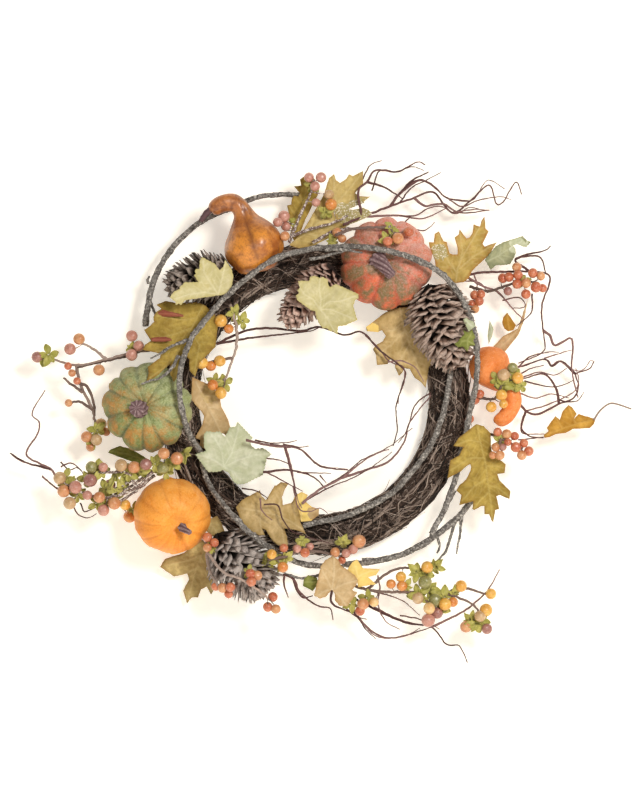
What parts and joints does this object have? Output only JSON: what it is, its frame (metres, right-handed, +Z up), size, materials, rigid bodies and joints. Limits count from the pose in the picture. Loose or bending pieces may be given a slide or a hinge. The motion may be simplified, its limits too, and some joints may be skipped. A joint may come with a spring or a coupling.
{
  "type": "door wreath",
  "caption": "Harvest door wreath: bound twig ring with bent grey branches, foam pumpkins and gourds, pine cones, cloth oak and grape leaves, berry sprays and curly twigs.",
  "frame": {"origin": "the point of the hook that the ring's upper inner edge hangs on, in the plane of the door", "axes": "+Z up, +Y out of the wreath's back into the door, so the front faces -Y; +X to the right as seen from the front, along the wreath's widest way"},
  "size_m": [0.6237, 0.0977, 0.5041],
  "materials": {
    "twigs": "rough bark",
    "wire": "dull galvanised",
    "grey_branch": "knobbly, lichen grey",
    "pumpkin_green": "frosted matt paint",
    "pumpkin_orange": "satin paint",
    "pumpkin_red": "frosted matt paint",
    "fruit_stem": "matt paint",
    "gourd_amber": "varnished",
    "gourd_orange": "satin paint",
    "pine_cone": "dry scales, frosted edges",
    "leaf_yellow_green": "moulded cloth, matt",
    "leaf_sage": "moulded cloth, matt",
    "leaf_olive": "moulded velvet, matt",
    "leaf_khaki": "moulded cloth, matt",
    "leaf_golden": "moulded cloth, matt",
    "leaf_yellow": "moulded cloth, matt",
    "leaf_dark": "moulded velvet, matt",
    "berry_peach": "satin, dusted",
    "berry_orange": "satin, dusted",
    "curly_twigs": "thin bark, matt"
  },
  "bodies": {
    "root": {"amber_gourd": "gourd_amber", "amber_gourd_stem": "fruit_stem", "base_wire_hoop": "wire", "berry_spray_bottom": "berry_orange", "berry_spray_bottom_right": "berry_peach", "berry_spray_cone": "berry_orange", "berry_spray_inner_left": "berry_peach", "berry_spray_left_lower": "berry_peach", "berry_spray_left_upper": "berry_peach", "berry_spray_red_pumpkin": "berry_orange", "berry_spray_right": "berry_orange", "berry_spray_right_lower": "berry_orange", "berry_spray_top": "berry_peach", "berry_spray_top_right": "berry_orange", "binding_wire_1": "wire", "binding_wire_2": "wire", "binding_wire_3": "wire", "crook_gourd": "gourd_orange", "curled_leaf_sage": "leaf_sage", "curly_twigs_bottom": "curly_twigs", "curly_twigs_inner_left": "curly_twigs", "curly_twigs_inner_right": "curly_twigs", "curly_twigs_inner_top": "curly_twigs", "curly_twigs_left": "curly_twigs", "curly_twigs_right": "curly_twigs", "curly_twigs_top": "curly_twigs", "curly_twigs_upper_right": "curly_twigs", "folded_leaf_tan": "leaf_khaki", "grape_leaf_sage": "leaf_sage", "grape_leaf_top": "leaf_yellow_green", "grape_leaf_upper_left": "leaf_yellow_green", "green_pumpkin": "pumpkin_green", "green_pumpkin_stem": "fruit_stem", "grey_branch_hoop": "grey_branch", "grey_branch_inner": "grey_branch", "grey_branch_lower": "grey_branch", "grey_branch_outer": "grey_branch", "leaf_dark_left": "leaf_dark", "leaf_tan_left": "leaf_khaki", "leaf_yellow_bottom": "leaf_yellow", "maple_leaf_tan": "leaf_khaki", "oak_leaf_bottom_inner": "leaf_khaki", "oak_leaf_dark": "leaf_dark", "oak_leaf_golden": "leaf_golden", "oak_leaf_green_right": "leaf_olive", "oak_leaf_khaki_inner": "leaf_khaki", "oak_leaf_olive": "leaf_olive", "oak_leaf_top": "leaf_olive", "oak_leaf_top_left": "leaf_olive", "oak_leaf_top_right": "leaf_golden", "orange_pumpkin": "pumpkin_orange", "orange_pumpkin_stem": "fruit_stem", "pine_cone_bottom": "pine_cone", "pine_cone_right": "pine_cone", "pine_cone_top": "pine_cone", "pine_cone_upper_left": "pine_cone", "red_pumpkin": "pumpkin_red", "red_pumpkin_stem": "fruit_stem", "twig_ring": "twigs"}
  },
  "joints": []
}
